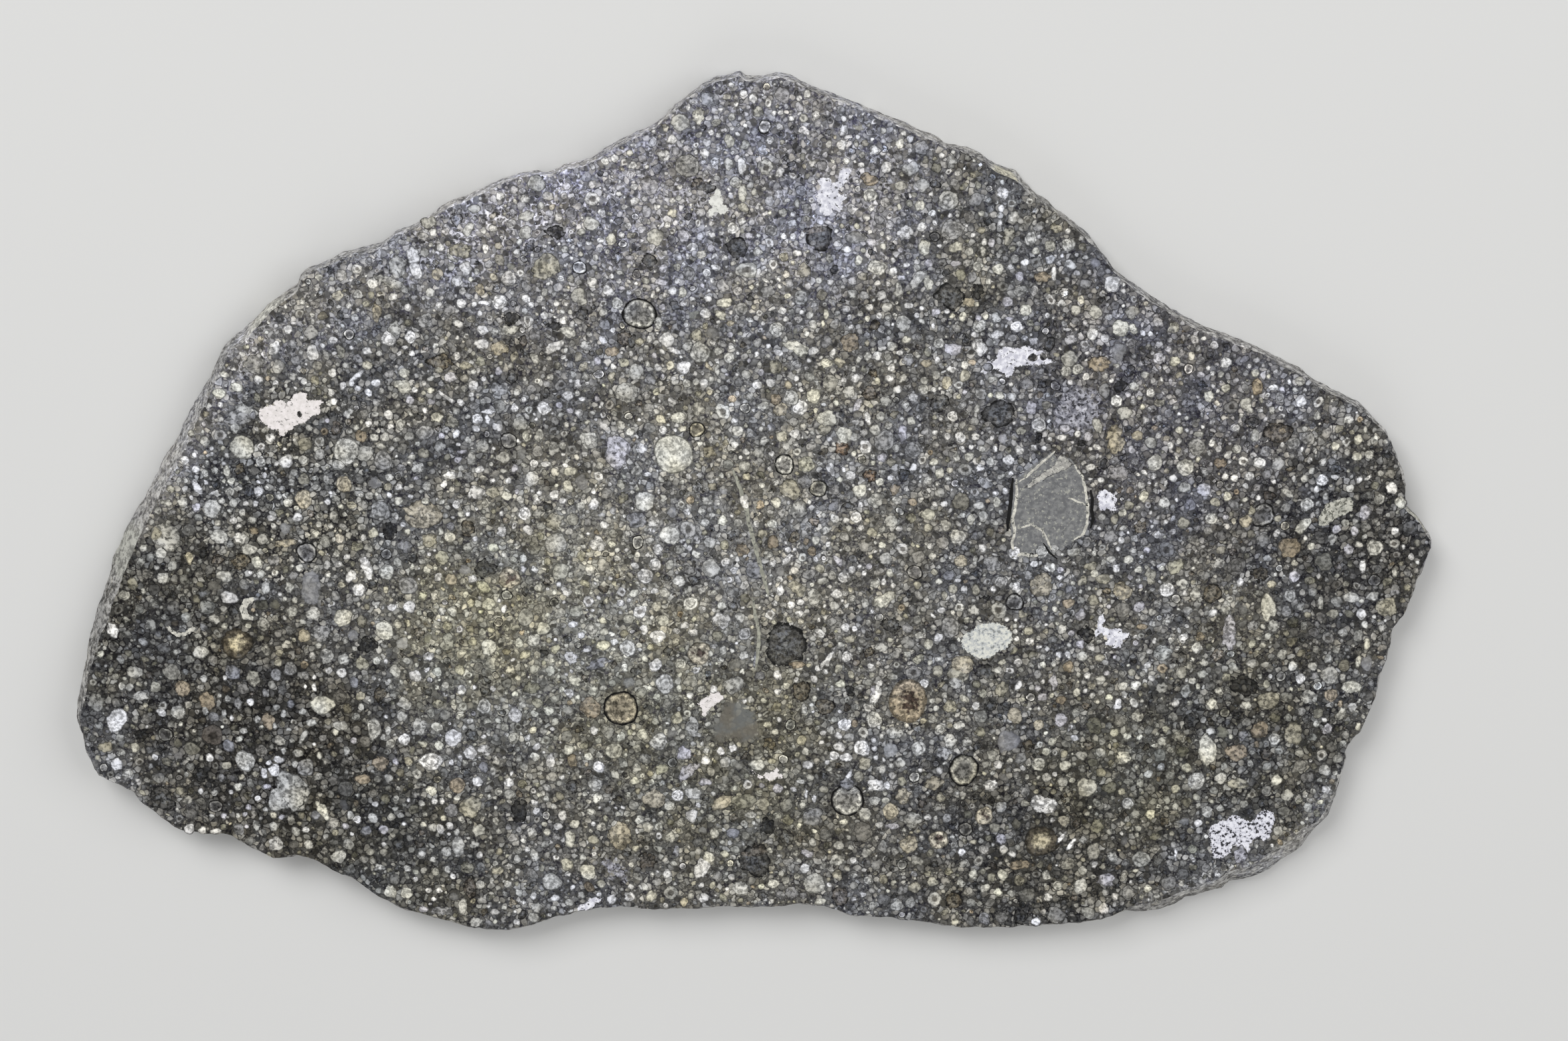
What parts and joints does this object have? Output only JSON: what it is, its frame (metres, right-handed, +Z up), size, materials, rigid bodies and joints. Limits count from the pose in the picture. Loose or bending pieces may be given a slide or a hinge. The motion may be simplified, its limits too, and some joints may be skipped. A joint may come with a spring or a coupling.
{
  "type": "chondrite meteorite slice",
  "caption": "Thin sawn and polished slice of a chondrite meteorite with an irregular natural rim, for display or study.",
  "frame": {"origin": "middle of the outline's box, on the surface that the sawn back lies on", "axes": "+Z up, out of the polished face; +X to the right and +Y to the crown of the slice as it is displayed"},
  "size_m": [0.1264, 0.0814, 0.0035],
  "materials": {
    "stone": "dark grey stone, sawn and polished on its upper face, natural on the rim, crowded with pale round grains",
    "chondrules": "pale grey, cream, tan and dark round mineral grains, cut and polished flush with the stone",
    "inclusions": "ragged white and bluish white mineral inclusions and smooth grey rock fragments, polished flush"
  },
  "bodies": {
    "root": {"chondrite_slice": "stone"}
  },
  "joints": []
}
